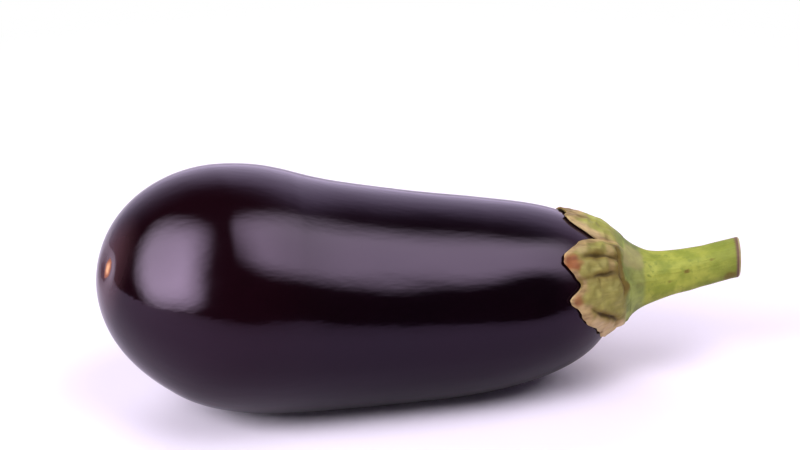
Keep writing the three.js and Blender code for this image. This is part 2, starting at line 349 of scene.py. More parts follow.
def over_skin(from_blossom, angle, height):
    """Points over the skin at a height, by how far they are along the section from the blossom end."""
    at = outline.place(from_blossom)
    run = outline.heading(from_blossom)
    total = height + relief(from_blossom, angle)
    return around_line(at[:, 1] - total * run[:, 0], at[:, 0] + total * run[:, 1], angle)


# ---- Making a round body: a chain of points, spun, subdivided ----

SAME_POINT = 1e-7  # metres: points closer than this are one


def spun_body(name, section, columns, levels):
    """A closed body spun round the X axis from half a section of points (along, radius) in millimetres. Each
    vertex keeps how far round the section it lies, counted in points, in the attribute way."""
    bpy.ops.object.select_all(action="DESELECT")
    start = section[0]
    bpy.ops.mesh.primitive_plane_add(size=MM, location=(start[0] * MM, 0, start[1] * MM))
    body = bpy.context.object
    body.name = name
    bpy.ops.object.transform_apply()
    bpy.ops.object.mode_set(mode="EDIT")
    bpy.ops.mesh.merge(type="CENTER")
    for here, there in zip(section, section[1:]):
        step = ((there[0] - here[0]) * MM, 0, (there[1] - here[1]) * MM)
        bpy.ops.mesh.extrude_vertices_move(TRANSFORM_OT_translate={"value": step})
    bpy.ops.object.mode_set(mode="OBJECT")
    # A merged and extruded chain is stored in no set order, so the points are numbered by walking it.
    follow_chain(body.data)
    bpy.ops.object.mode_set(mode="EDIT")
    bpy.ops.mesh.select_all(action="SELECT")
    bpy.ops.mesh.spin(steps=columns, angle=TAU, center=(0, 0, 0), axis=(1, 0, 0))
    bpy.ops.mesh.select_all(action="SELECT")
    bpy.ops.mesh.remove_doubles(threshold=SAME_POINT)
    bpy.ops.mesh.normals_make_consistent(inside=False)
    bpy.ops.object.mode_set(mode="OBJECT")
    finer = body.modifiers.new("finer", "SUBSURF")
    finer.subdivision_type = "SIMPLE"
    finer.levels = finer.render_levels = levels
    bpy.ops.object.modifier_apply(modifier=finer.name)
    bpy.ops.object.shade_smooth()
    return body


def follow_chain(mesh):
    """Numbers the points of an open chain from its leftmost end, in the attribute way."""
    neighbours = {}
    for edge in mesh.edges:
        one, other = edge.vertices
        neighbours.setdefault(one, []).append(other)
        neighbours.setdefault(other, []).append(one)
    ends = [v for v, linked in neighbours.items() if len(linked) == 1]
    first = min(ends, key=lambda v: mesh.vertices[v].co.x)
    way = mesh.attributes.new("way", "FLOAT", "POINT")
    before, here, count = None, first, 0
    while here is not None:
        way.data[here].value = count
        onward = [v for v in neighbours[here] if v != before]
        before, here = here, onward[0] if onward else None
        count += 1


def read_points(body):
    """The vertices in millimetres, and the angle round the X axis and the way round the section of each."""
    mesh = body.data
    points = np.empty(len(mesh.vertices) * 3)
    mesh.vertices.foreach_get("co", points)
    points = points.reshape(-1, 3) / MM
    way = np.empty(len(points))
    mesh.attributes["way"].data.foreach_get("value", way)
    return points, np.arctan2(-points[:, 1], points[:, 2]), way


def read_normals(body):
    normals = np.empty(len(body.data.vertices) * 3)
    body.data.vertices.foreach_get("normal", normals)
    return normals.reshape(-1, 3)


def move_points(body, points):
    body.data.vertices.foreach_set("co", (points * MM).ravel())
    body.data.update()


def keep_measure(body, name, values):
    """Stores one number at each vertex, for the materials."""
    attribute = body.data.attributes.new(name, "FLOAT", "POINT")
    attribute.data.foreach_set("value", values.astype(np.float32))


def keep_grain(body, points):
    """Stores the place, in millimetres, that a lengthwise grain is drawn from."""
    attribute = body.data.attributes.new("grain", "FLOAT_VECTOR", "POINT")
    attribute.data.foreach_set("vector", points.astype(np.float32).ravel())


# ---- The fruit ----

FRUIT_ROWS = 40  # before it is subdivided
FRUIT_COLUMNS = 48


def make_fruit():
    def from_blossom(way):
        """Half way between evenly spaced rows and rows that crowd towards the ends."""
        share = way / FRUIT_ROWS
        return outline.length * mix(share, 0.5 - 0.5 * np.cos(np.pi * share), 0.5)

    half_section = outline.place(from_blossom(np.arange(FRUIT_ROWS + 1)))[:, ::-1]
    fruit = spun_body("fruit_skin", half_section, FRUIT_COLUMNS, 2)
    _, angle, way = read_points(fruit)
    measured = from_blossom(way)
    from_stem_end = outline.length - measured
    points = over_skin(measured, angle, 0)
    move_points(fruit, points)

    # Then the skin's waves and swellings are raised along its normals.
    wave = smooth_step(0, CALM_SCAR, from_scar(measured, angle))
    wave = wave * smooth_step(0, CALM_STEM_END, from_stem_end)
    height = SKIN_WAVE * wave * noise_at(points, SKIN_WAVE_SIZE, 4)
    girth = outline.place(measured)[:, 0]
    for at, turn, half_length, half_width, rise in SKIN_SWELLINGS:
        away = np.hypot((from_stem_end - at) / half_length, girth * turned(angle, turn) / half_width)
        height += rise * np.exp(-away ** 2)
    points += read_normals(fruit) * height[:, None]
    points[:, 2] = np.maximum(points[:, 2], 0)  # pressed flat where it rests
    move_points(fruit, points)
    keep_measure(fruit, "from_scar", from_scar(measured, angle, SCAR_SLIMNESS))
    keep_measure(fruit, "from_stem_end", from_stem_end)
    return fruit


# ---- The calyx and stem ----

# In these, angle is round the middle line, and out is the share of the way from the crease to the rim.

def lobe_at(angle):
    """For each angle the lobe there and the one over the gap beside it, the notch between them, and how far
    the angle is from the lobe's tip (0) to the gap (1)."""
    tips = np.array([lobe["tip"] for lobe in LOBES] + [LOBES[0]["tip"] + 360])
    gaps = np.array([lobe["gap"] for lobe in LOBES])
    notches = np.array([lobe["notch"] for lobe in LOBES])
    turn = (np.degrees(angle) - tips[0]) % 360 + tips[0]
    before = np.clip(np.searchsorted(tips, turn, side="right") - 1, 0, len(LOBES) - 1)
    after = (before + 1) % len(LOBES)
    gap = gaps[before]
    falling = turn < gap
    past_tip = (turn - tips[before]) / (gap - tips[before])
    past_gap = (tips[before + 1] - turn) / (tips[before + 1] - gap)
    from_tip = np.where(falling, past_tip, past_gap)
    return np.where(falling, before, after), np.where(falling, after, before), notches[before], from_tip


def own(trait, lobe):
    """Each point's own lobe's value of a trait from the list of lobes."""
    return np.array([one[trait] for one in LOBES], float)[lobe]


def blended(angle, trait):
    """A trait of the lobes that passes smoothly from each tip to the next one's."""
    lobe, other, _, from_tip = lobe_at(angle)
    half = (own(trait, lobe) + own(trait, other)) / 2
    return mix(own(trait, lobe), half, from_tip * from_tip * (3 - 2 * from_tip))


def lobe_reach(angle):
    """How far the rim lies from the stem end."""
    lobe, _, notch, from_tip = lobe_at(angle)
    waves = EDGE_WAVE * rippled(angle, RIM_WAVES) * from_tip * (1 - from_tip) * 4  # strongest half way
    girth = outline.place(outline.length - own("reach", lobe))[:, 0]
    point = own("point", lobe) * np.exp(-((girth * turned(angle, own("tip", lobe)) / POINT_WIDTH) ** 2))
    rim = mix(own("reach", lobe), notch, from_tip ** own("fullness", lobe))
    return rim + waves + EDGE_NIBBLE * rippled(angle, RIM_TEETH) + point


def lobe_lift(out, angle):
    """How far the underside is off the skin. Only the tip curls."""
    lobe, _, _, from_tip = lobe_at(angle)
    curl = own("curl", lobe) * (1 - from_tip) ** 1.5 * out ** 5
    arch = blended(angle, "arch") * np.sin(np.pi * out)
    return SKIN_GAP + arch + blended(angle, "lift") * out ** 2 + curl


def lobe_thickness(out, angle):
    root = blended(angle, "buttress") * (1 - out) ** 2
    swell = blended(angle, "swell") * np.exp(-(((out - SWELL_AT) / SWELL_WIDTH) ** 2))
    return mix(ROOT_THICKNESS, blended(angle, "edge"), out) + (root + swell) * (1 - out ** 6)


def lobe_point(out, angle, height):
    return over_skin(outline.length - mix(CREASE_AT, lobe_reach(angle), out), angle, height)


def lobe_outside(out, angle):
    return lobe_point(out, angle, lobe_lift(out, angle) + lobe_thickness(out, angle))


def lobe_underside(out, angle):
    return lobe_point(out, angle, lobe_lift(out, angle))


def stem_point(from_fruit, radius, angle):
    """A point on the stem, which slants more and more towards the cut."""
    slant = CUT_SLANT[0] * np.cos(angle) + CUT_SLANT[1] * np.sin(angle)
    near_cut = np.minimum(from_fruit / CUT_AT, 1) ** 4
    return around_line(FRUIT_LENGTH + from_fruit + radius * slant * near_cut, radius, angle)


def under_cup(share, angle):
    return over_skin(outline.length - share * CREASE_AT, angle, SKIN_GAP)


def lobe_edge(share, angle):
    """The rounded rim, from the underside to the outside."""
    edge = blended(angle, "edge")
    reach = lobe_reach(angle) + edge / 2 * np.sin(np.pi * share)
    height = lobe_lift(1, angle) + edge * (0.5 - 0.5 * np.cos(np.pi * share))
    return over_skin(outline.length - reach, angle, height)


def stem_outside(share, angle):
    """From the crease to the cut, with one rib for each lobe. Its first ninth blends out of the lobes."""
    at = stem_side.place(share * stem_side.length)
    from_rib = angle - math.radians(LOBES[1]["tip"])
    rib = STEM_RIB * np.cos(len(LOBES) * from_rib) * np.sin(np.pi * share)
    root = blended(angle, "buttress") * (1 - share) ** 4
    at_crease = (np.maximum(1 - share * 9, 0) ** 2)[:, None]
    return mix(stem_point(at[:, 1], at[:, 0] + rib + root, angle), lobe_outside(0, angle), at_crease)


def cut_face(share, angle):
    """From the rounded edge of the cut to its slightly hollow middle."""
    flat = CUT_RADIUS - CUT_BEVEL
    bevelled = np.minimum(share / BEVEL_SHARE, 1)
    on_bevel = CUT_RADIUS - CUT_BEVEL * (1 - np.cos(bevelled * np.pi / 2))
    radius = np.where(share < BEVEL_SHARE, on_bevel, flat * (1 - share) / (1 - BEVEL_SHARE))
    rise = CUT_BEVEL * np.sin(bevelled * np.pi / 2)
    sink = CUT_HOLLOW * smooth_hump(radius, flat)
    return stem_point(CUT_AT + rise - sink, radius, angle)


# The stretches of the section with their rows, from the middle under the cup, out to the rim, back, and up to
# the cut. The numbers are their places in that list.
CALYX_STRETCHES = [
    (under_cup, 2), (lobe_underside, 5), (lobe_edge, 1), (lobe_outside, 10), (stem_outside, 12),
    (cut_face, 4),
]
UNDERSIDE, EDGE, OUTSIDE, STEM, CUT = 1, 2, 3, 4, 5
CALYX_COLUMNS = 120
# The plain, straight cup and stem that the calyx is pulled from: the distance past the fruit and the radius
# where each stretch ends.
PLAIN_CUP = [(0.5, 0), (-2, 13), (-22, 31), (-21, 32), (1, 14), (46, 7), (46.5, 0)]


def stretch_and_share(way):
    """Which stretch of the section each point lies on, and its share of the way through it."""
    ends = np.cumsum([rows for _, rows in CALYX_STRETCHES])
    starts = ends - [rows for _, rows in CALYX_STRETCHES]
    stretch = np.clip(np.searchsorted(ends, way, side="left"), 0, len(ends) - 1)
    return stretch, (way - starts[stretch]) / (ends - starts)[stretch]


def place_calyx(way, angle):
    """Where each point of the calyx and stem lies, before its furrows."""
    stretch, share = stretch_and_share(way)
    share = np.where(stretch == OUTSIDE, 1 - share, share)
    points = np.empty((len(way), 3))
    for number, (surface, _) in enumerate(CALYX_STRETCHES):
        here = stretch == number
        points[here] = surface(share[here], angle[here])
    return points


def off_line(from_end, angle, girth, path):
    """How far each point is from a line drawn on the calyx, in millimetres, and the line's depth there."""
    nearest = np.full(len(angle), np.inf)
    depth = np.zeros(len(angle))
    for (start_at, start_angle, start_depth), (end_at, end_angle, end_depth) in zip(path, path[1:]):
        # Both are flattened round the point itself: the start of this part of the line, and its run.
        ahead, aside = start_at - from_end, girth * turned(angle, start_angle)
        run, run_aside = end_at - start_at, girth * math.radians(end_angle - start_angle)
        along = np.clip(-(ahead * run + aside * run_aside) / (run * run + run_aside * run_aside), 0, 1)
        away = np.hypot(ahead + along * run, aside + along * run_aside)
        closer = away < nearest
        nearest = np.where(closer, away, nearest)
        depth = np.where(closer, mix(start_depth, end_depth, along), depth)
    return nearest, depth


def dabbed(from_end, angle, girth, dabs, ragged):
    """How strongly the dabs cover each point."""
    cover = np.zeros(len(angle))
    for at, turn, half_length, half_width, strength in dabs:
        away = np.hypot((from_end - at) / half_length, girth * turned(angle, turn) / half_width)
        cover = np.maximum(cover, strength * (1 - smooth_step(*DAB_FADE, away + DAB_RAGGEDNESS * ragged)))
    return cover


def make_calyx():
    corners_at = np.cumsum([0] + [rows for _, rows in CALYX_STRETCHES])
    corners = np.array(PLAIN_CUP) + (FRUIT_LENGTH, 0)
    points_round = np.arange(corners_at[-1] + 1)
    section = np.stack([np.interp(points_round, corners_at, c) for c in corners.T], axis=1)
    calyx = spun_body("calyx_with_stem", section, CALYX_COLUMNS, 2)
    _, angle, way = read_points(calyx)
    move_points(calyx, place_calyx(way, angle))

    # How far out on its lobe each point is, how far from the stem end, and how far from the middle line.
    stretch, share = stretch_and_share(way)
    reach = lobe_reach(angle)
    out = np.select([stretch == UNDERSIDE, stretch == EDGE, stretch == OUTSIDE], [share, 1, 1 - share], 0)
    from_end = np.select(
        [stretch < UNDERSIDE, stretch <= OUTSIDE, stretch == STEM],
        [share * CREASE_AT, mix(CREASE_AT, reach, out), CREASE_AT - share * stem_side.length],
        CREASE_AT - stem_side.length,
    )
    girth = np.where(
        stretch <= OUTSIDE,
        outline.place(outline.length - np.maximum(from_end, CREASE_AT))[:, 0],
        stem_side.place(share * stem_side.length)[:, 0],
    )
    outer = np.where(stretch == OUTSIDE, 1 - out ** 6, 0) + (stretch == STEM)  # relief ends short of the rim

    # The furrows, their lips and their stains.
    points = read_points(calyx)[0]
    stray = FURROW_WANDER * noise_at(points, WANDER_SIZE, 1)
    stray_round = FURROW_WANDER * noise_at(points, WANDER_SIZE, 2) / girth
    fold = np.zeros(len(way))
    stain = np.zeros(len(way))
    height = np.zeros(len(way))
    for path in FURROWS:
        away, depth = off_line(from_end + stray, angle + stray_round, girth, path)
        fold = np.maximum(fold, depth * np.exp(-((away / FURROW_WIDTH) ** 2)))
        stain = np.maximum(stain, depth * np.exp(-((away / STAIN_WIDTH) ** 2)))
        height += LIP_SHARE * depth * np.exp(-((away - LIP_AT) ** 2) / LIP_SPREAD)
    height -= fold

    # Fibres and crinkles on the lobes, with sharp crests where the noise passes zero, and lumps on the stem.
    along_fibres = [FIBRE_ROUND * np.cos(angle), FIBRE_ROUND * np.sin(angle), from_end / FIBRE_STRETCH]
    grain = np.stack(along_fibres, axis=1)
    height += FIBRE_HEIGHT * noise_at(grain, FIBRE_SIZE) * (stretch == OUTSIDE)
    large, small = CRINKLE_SIZES
    crinkles = 1 - 4 * np.abs(noise_at(points, large, 7)) + 0.5 * noise_at(points, small, 8)
    height += CRINKLE_HEIGHT * crinkles * (stretch == OUTSIDE) * smooth_step(*CRINKLE_START, from_end)
    height += STEM_LUMP * noise_at(points, STEM_LUMP_SIZE, 3) * (stretch == STEM) * smooth_step(0, 0.3, share)
    move_points(calyx, points + read_normals(calyx) * (height * outer)[:, None])

    # How far each point is from the rim, measured square to it, and all that the material needs to know.
    step = math.radians(1)
    slope = (lobe_reach(angle + step) - lobe_reach(angle - step)) / (2 * step)
    from_rim = (reach - from_end) / np.hypot(1, slope / girth)
    margin = blended(angle, "margin") * (1 + MARGIN_WANDER * noise_at(points, WANDER_SIZE, 5))
    ragged = noise_at(points, RAGGED_SIZE, 6)
    on_lobe = stretch <= OUTSIDE
    border = 1 - smooth_step(*BORDER_FADE, from_rim / margin)

    def covered(dabs):
        return dabbed(from_end, angle, girth, dabs, ragged)

    measures = {
        "dry": np.maximum(border, covered(TAN_DABS)) * on_lobe,
        "fresh": blended(angle, "fresh") * on_lobe,
        "rust": covered(RUST_DABS) * on_lobe,
        "pale": covered(BLEACH_AND_PAINTED_LIGHT_DABS),
        "brown": covered(BROWN_AND_SHADE_DABS),
        "fold": np.clip(fold, 0, 1) * outer,
        "stain": np.clip(stain + STAIN_RAGGEDNESS * ragged * stain, 0, 1) * outer,
        "on_cone": 1 - smooth_step(*CONE_END, from_end + ragged),
        "up_stem": np.where(stretch >= STEM, np.where(stretch == STEM, share, 1), 0),
        "cut": (stretch == CUT) * 1.0,
    }
    for name, values in measures.items():
        keep_measure(calyx, name, values)
    keep_grain(calyx, grain)
    return calyx


# ---- Materials ----

# The Mix node's form for colours, as its sockets and its output with its setting, and the Map Range node's
# form with soft ends.
SHARE, FIRST, SECOND = 0, 6, 7
COLOURS = {"output": 2, "data_type": "RGBA"}
SMOOTH = {"output": "Result", "interpolation_type": "SMOOTHSTEP"}


def add(tree, kind, inputs, output=0, **settings):
    """Adds a node and gives back one of its outputs. An input is fed by another node's output, or holds a
    number, a vector or an sRGB hex colour."""
    node = tree.nodes.new(kind)
    for name, value in settings.items():
        setattr(node, name, value)
    for name, value in inputs.items():
        if isinstance(value, bpy.types.NodeSocket):
            tree.links.new(value, node.inputs[name])
        else:
            node.inputs[name].default_value = linear(value) if isinstance(value, str) else value
    return node.outputs[output] if node.outputs else node


def new_material(name):
    material = bpy.data.materials.new(name)
    material.use_nodes = True
    material.node_tree.nodes.clear()
    return material, material.node_tree


def waxed_skin():
    """Ripe aubergine skin: almost black violet under a smooth natural wax that mirrors the room, browner at
    the flower end and paler where the calyx shaded it. The flower left a dry, corky scar."""
    material, tree = new_material("waxed aubergine skin")
    place = add(tree, "ShaderNodeTexCoord", {}, "Object")
    away = add(tree, "ShaderNodeAttribute", {}, "Fac", attribute_name="from_scar")
    from_stem = add(tree, "ShaderNodeAttribute", {}, "Fac", attribute_name="from_stem_end")

    # Colour: soft clouds 40 mm across, then the changes over the belly, by the calyx and round the scar: the
    # distance that each goes by, in millimetres, where it starts and is full, and its colour.
    clouds = add(tree, "ShaderNodeTexNoise", {"Vector": place, "Scale": 1 / (40 * MM), "Detail": 2.0}, "Fac")
    cloudy = add(tree, "ShaderNodeMapRange", {"Value": clouds, "From Min": 0.35, "From Max": 0.65}, "Result")
    skin = add(tree, "ShaderNodeMix", {SHARE: cloudy, FIRST: "#090307", SECOND: "#0c0308"}, **COLOURS)
    changes = [(from_stem, 110, 175, "#120409"), (from_stem, 48, 24, "#1c0b14"), (away, 24, 5, "#40292f")]
    for distance, start, full, tone in changes:
        share = add(tree, "ShaderNodeMapRange", {"Value": distance, "From Min": start, "From Max": full},
                    **SMOOTH)
        skin = add(tree, "ShaderNodeMix", {SHARE: share, FIRST: skin, SECOND: tone}, **COLOURS)

    # The scar, ragged by grains 1.6 mm across, is paler in its middle.
    grains = add(tree, "ShaderNodeTexNoise", {"Vector": place, "Scale": 1 / (1.6 * MM), "Detail": 2.0}, "Fac")
    ragged = add(tree, "ShaderNodeMath", {0: grains, 1: 1.8, 2: away}, operation="MULTIPLY_ADD")
    on_scar = add(tree, "ShaderNodeMapRange", {"Value": ragged, "From Min": 5, "From Max": 4.1}, "Result")
    middle = add(tree, "ShaderNodeMapRange", {"Value": ragged, "From Min": 3.8, "From Max": 1.8}, "Result")
    cork = add(tree, "ShaderNodeMix", {SHARE: middle, FIRST: "#7d4529", SECOND: "#d09a70"}, **COLOURS)
    colour = add(tree, "ShaderNodeMix", {SHARE: on_scar, FIRST: skin, SECOND: cork}, **COLOURS)

    # The wax is smooth. Duller streaks 9 mm across, and ripples 8 mm and 1.6 mm across, run lengthwise.
    along = add(tree, "ShaderNodeMapping", {"Vector": place, "Scale": (0.25, 1, 1)})
    streaks, ripples, fine = [
        add(tree, "ShaderNodeTexNoise", {"Vector": along, "Scale": 1 / (size * MM), "Detail": detail}, "Fac")
        for size, detail in ((9, 2.0), (8, 1.0), (1.6, 1.0))
    ]
    wax = add(tree, "ShaderNodeMapRange", {"Value": streaks, "From Min": 0.3, "From Max": 0.7,
                                           "To Min": 0.09, "To Max": 0.13}, "Result")
    duller = add(tree, "ShaderNodeMapRange", {"Value": from_stem, "From Min": 50, "From Max": 22,
                                              "To Min": 0, "To Max": 0.1}, "Result")
    wax = add(tree, "ShaderNodeMath", {0: wax, 1: duller}, operation="ADD")
    roughness = add(tree, "ShaderNodeMix", {SHARE: on_scar, 2: wax, 3: 0.7}, 0)
    height = add(tree, "ShaderNodeMath", {0: fine, 1: 0.3, 2: ripples}, operation="MULTIPLY_ADD")
    normal = add(tree, "ShaderNodeBump", {"Height": height, "Distance": 0.1 * MM})

    shader = add(tree, "ShaderNodeBsdfPrincipled", {
        "Base Color": colour, "Roughness": roughness, "IOR": 1.36, "Specular Tint": "#f2d4ff",
        "Normal": normal,
    })
    add(tree, "ShaderNodeOutputMaterial", {"Surface": shader})
    return material


def leathery_calyx():
    """Green calyx and stem: leathery, fibrous and hardly glossy, dried to tan and rust at the rims, with old
    furrows stained brown and darkened by painted shade. The cut is browned at its rim and shows pale pith."""
    material, tree = new_material("leathery green calyx")
    place = add(tree, "ShaderNodeTexCoord", {}, "Object")
    dry, fresh, pale, rusty, brown, fold, stain, on_cone, up_stem, cut = [
        add(tree, "ShaderNodeAttribute", {}, "Fac", attribute_name=name)
        for name in ("dry", "fresh", "pale", "rust", "brown", "fold", "stain", "on_cone", "up_stem", "cut")
    ]
    grain = add(tree, "ShaderNodeAttribute", {}, "Vector", attribute_name="grain")

    # Patches 5 mm across, specks 2.4 mm across and grit of 0.8 mm. The fibres, 1.4 mm across, are drawn
    # coarser than real ones so that they show. The grain is kept in millimetres.
    patches, specks, grit = [
        add(tree, "ShaderNodeTexNoise", {"Vector": place, "Scale": 1 / (size * MM), "Detail": 2.0}, "Fac")
        for size in (5, 2.4, 0.8)
    ]
    fibres = add(tree, "ShaderNodeTexNoise", {"Vector": grain, "Scale": 1 / 1.4, "Detail": 3.0}, "Fac")
    patchy, fibrous, spotted = [
        add(tree, "ShaderNodeMapRange", {"Value": pattern, "From Min": low, "From Max": high}, "Result")
        for pattern, low, high in ((patches, 0.36, 0.64), (fibres, 0.38, 0.72), (specks, 0.56, 0.74))
    ]

    # The green: olive lobes, greener where still fresh, a duller cone, and a yellow-green stem that is deeper
    # green near its cut.
    olive = add(tree, "ShaderNodeMix", {SHARE: patchy, FIRST: "#6d5f2c", SECOND: "#8f8349"}, **COLOURS)
    olive = add(tree, "ShaderNodeMix", {SHARE: fibrous, FIRST: olive, SECOND: "#6a5a2b"}, **COLOURS)
    lobes = add(tree, "ShaderNodeMix", {SHARE: fresh, FIRST: olive, SECOND: "#9c9e4a"}, **COLOURS)
    stem = add(tree, "ShaderNodeMix", {SHARE: patchy, FIRST: "#7b832a", SECOND: "#999c3e"}, **COLOURS)
    near_cut = add(tree, "ShaderNodeMapRange", {"Value": up_stem, "From Min": 0.55, "To Max": 0.8}, "Result")
    stem = add(tree, "ShaderNodeMix", {SHARE: near_cut, FIRST: stem, SECOND: "#636c1e"}, **COLOURS)
    stem = add(tree, "ShaderNodeMix", {SHARE: spotted, FIRST: stem, SECOND: "#737c2b"}, **COLOURS)
    on_stem = add(tree, "ShaderNodeMapRange", {"Value": up_stem, "From Min": 0.15, "From Max": 0.2}, **SMOOTH)
    cone = add(tree, "ShaderNodeMix", {SHARE: patchy, FIRST: "#6a7238", SECOND: "#8d964c"}, **COLOURS)
    green = add(tree, "ShaderNodeMix", {SHARE: on_cone, FIRST: lobes, SECOND: cone}, **COLOURS)
    green = add(tree, "ShaderNodeMix", {SHARE: on_stem, FIRST: green, SECOND: stem}, **COLOURS)

    # What dried: tan rims, bleached where the lobe is fresh, pale patches, rusty tips, brown bruises and
    # brown stains by the furrows, then painted shade that darkens each furrow by its depth. Some pale dabs
    # are painted highlights and painted light, and one brown dab is painted shade.
    tan = add(tree, "ShaderNodeMix", {SHARE: fresh, FIRST: "#a88c60", SECOND: "#c2a774"}, **COLOURS)
    tan = add(tree, "ShaderNodeMix", {SHARE: fibrous, FIRST: tan, SECOND: "#6f553a"}, **COLOURS)
    rust = add(tree, "ShaderNodeMix", {SHARE: fibrous, FIRST: "#844a22", SECOND: "#65371f"}, **COLOURS)
    # Painted shade: the deeper a furrow, the darker its bottom.
    furrow_shade = add(tree, "ShaderNodeMapRange", {"Value": fold, "From Min": 0.15}, **SMOOTH)
    layers = [
        (dry, tan), (pale, "#c7ae84"), (rusty, rust), (brown, "#604d14"), (stain, "#6b561b"),
        (furrow_shade, "#42330b"),
    ]
    dried = green
    for share, laid_on in layers:
        dried = add(tree, "ShaderNodeMix", {SHARE: share, FIRST: dried, SECOND: laid_on}, **COLOURS)

    # The cut: a browned rim round paler pith.
    rim = add(tree, "ShaderNodeMapRange", {"Value": up_stem, "From Min": 0.97, "From Max": 0.99}, "Result")
    pith = add(tree, "ShaderNodeMix", {SHARE: patchy, FIRST: "#b3a678", SECOND: "#95845a"}, **COLOURS)
    colour = add(tree, "ShaderNodeMix", {SHARE: rim, FIRST: dried, SECOND: "#5d4238"}, **COLOURS)
    colour = add(tree, "ShaderNodeMix", {SHARE: cut, FIRST: colour, SECOND: pith}, **COLOURS)

    # Fibres and grit roughen it by about 0.25 mm.
    height = add(tree, "ShaderNodeMath", {0: grit, 1: 0.5, 2: fibres}, operation="MULTIPLY_ADD")
    normal = add(tree, "ShaderNodeBump", {"Height": height, "Distance": 0.25 * MM})
    shader = add(tree, "ShaderNodeBsdfPrincipled", {
        "Base Color": colour, "Roughness": 0.6, "Specular IOR Level": 0.2, "Normal": normal,
    })
    add(tree, "ShaderNodeOutputMaterial", {"Surface": shader})
    return material


def matt_paper():
    """White background paper: matt, with the faint violet cast that its shadows have."""
    material, tree = new_material("matt white paper")
    place = add(tree, "ShaderNodeTexCoord", {}, "Object")

    # The skin mirrors the paper darker than it looks, with painted shade that deepens towards the front edge
    # and a painted shadow in a long patch round where the fruit stands.
    depth = add(tree, "ShaderNodeSeparateXYZ", {0: place}, "Y")
    shrunk = add(tree, "ShaderNodeVectorMath", {0: place, 1: (0.5, 1, 0)}, operation="MULTIPLY")
    from_stand = add(tree, "ShaderNodeVectorMath", {0: shrunk}, "Value", operation="LENGTH")
    clear = add(tree, "ShaderNodeMapRange", {"Value": from_stand, "From Min": SHADOW_PATCH_RIM[0],
                                             "From Max": SHADOW_PATCH_RIM[1], "To Min": SHADOW_PATCH_SHARE}, "Result")
    inner = add(tree, "ShaderNodeMapRange", {"Value": depth, "From Min": FLOOR_FRONT,
                                             "From Max": FLOOR_LIGHT}, "Result")
    share = add(tree, "ShaderNodeMath", {0: clear, 1: inner}, operation="MULTIPLY")
    reflection = add(tree, "ShaderNodeMix", {SHARE: share, FIRST: "#000000", SECOND: "#cfc3da"}, **COLOURS)
    mirrored = add(tree, "ShaderNodeLightPath", {}, "Is Glossy Ray")
    colour = add(tree, "ShaderNodeMix", {SHARE: mirrored, FIRST: "#f1e6fb", SECOND: reflection}, **COLOURS)
    paper = add(tree, "ShaderNodeBsdfPrincipled", {"Base Color": colour, "Roughness": 0.9})

    # Far from the fruit the paper turns into the white surround, so that no edge of it shows.
    distance = add(tree, "ShaderNodeVectorMath", {0: place}, "Value", operation="LENGTH")
    far = add(tree, "ShaderNodeMapRange", {"Value": distance, "From Min": PAPER_FADE[0],
                                           "From Max": PAPER_FADE[1]}, **SMOOTH)
    direct = add(tree, "ShaderNodeLightPath", {}, "Is Camera Ray")
    whiter = add(tree, "ShaderNodeMath", {0: far, 1: direct}, operation="MULTIPLY")
    white = add(tree, "ShaderNodeEmission", {"Color": "#ffffff", "Strength": 1.0})
    shader = add(tree, "ShaderNodeMixShader", {0: whiter, 1: paper, 2: white})
    add(tree, "ShaderNodeOutputMaterial", {"Surface": shader})
    return material


# ---- The room, in metres ----

FLOOR_LEFT, FLOOR_RIGHT = -0.5, 0.9  # also where its mirror image in the skin ends
FLOOR_FRONT, FLOOR_BACK = -0.6, 1.42
# The next three sizes shape the painted shade and painted shadow in the skin's mirror image of the paper.
FLOOR_LIGHT = -0.12  # where its mirror image has come up from black at the front edge
SHADOW_PATCH_RIM = (0.025, 0.05)  # half the depth of the darker patch in that image, and where it has ended
SHADOW_PATCH_SHARE = 0.6  # how bright the patch still is
PAPER_FADE = (0.25, 0.45)  # how far out the paper starts to turn white, and is all white
# The lamps are flat panels: where each hangs, what it faces, the way its width runs, its size and radiance.
# The lights only give soft light, and the softboxes are only seen mirrored in the skin. A softbox has rounded
# corners, rounder for a lower rounding, and its slope makes it brighter along its width and its height.
LAMPS = [
    dict(name="left_light", at=(-1.036, -0.563, 0.784), target=(-0.088, -0.03, 0.072),
         along=(0.65, -0.665, 0.367), size=(1.2, 0.6), radiance=9.4),
    dict(name="right_light", at=(0.5, -0.5, 1.2), target=(-0.01, -0.03, 0.066),
         along=(0.7, 0.7, 0), size=(1, 1), radiance=4.6),
    dict(name="back_light", at=(-0.3, 0.9, 1), target=(0, 0, 0.04),
         along=(1, 0, 0), size=(1, 1), radiance=3.5),
    dict(name="left_softbox", at=(-1.0214, -0.5548, 0.773), target=(-0.088, -0.03, 0.072),
         along=(0.65, -0.665, 0.367), size=(1.8, 2.88), radiance=13.2, rounding=3.3, slope=(0.3, -0.41)),
    dict(name="right_softbox", at=(0.7068, -0.4071, 1.0575), target=(-0.01, -0.03, 0.066),
         along=(-0.192, 0.863, 0.467), size=(1.86, 1.87), radiance=6.3, rounding=3.2, slope=(0.11, 0.49)),
]
FULL_BRIGHT = 0.3  # where a softbox has come up to full brightness, as a share of its half size
AMBIENT = 0.07  # light from all round that fills the shadows
BACKDROP_SHINE = 1.95  # how bright the backdrop is in the skin's reflections


def make_floor():
    bpy.ops.object.select_all(action="DESELECT")
    middle = ((FLOOR_LEFT + FLOOR_RIGHT) / 2, (FLOOR_FRONT + FLOOR_BACK) / 2, 0)
    bpy.ops.mesh.primitive_plane_add(size=1, location=middle)
    floor = bpy.context.object
    floor.scale = (FLOOR_RIGHT - FLOOR_LEFT, FLOOR_BACK - FLOOR_FRONT, 1)
    floor.name = "floor"
    bpy.ops.object.transform_apply()
    floor.data.materials.append(matt_paper())


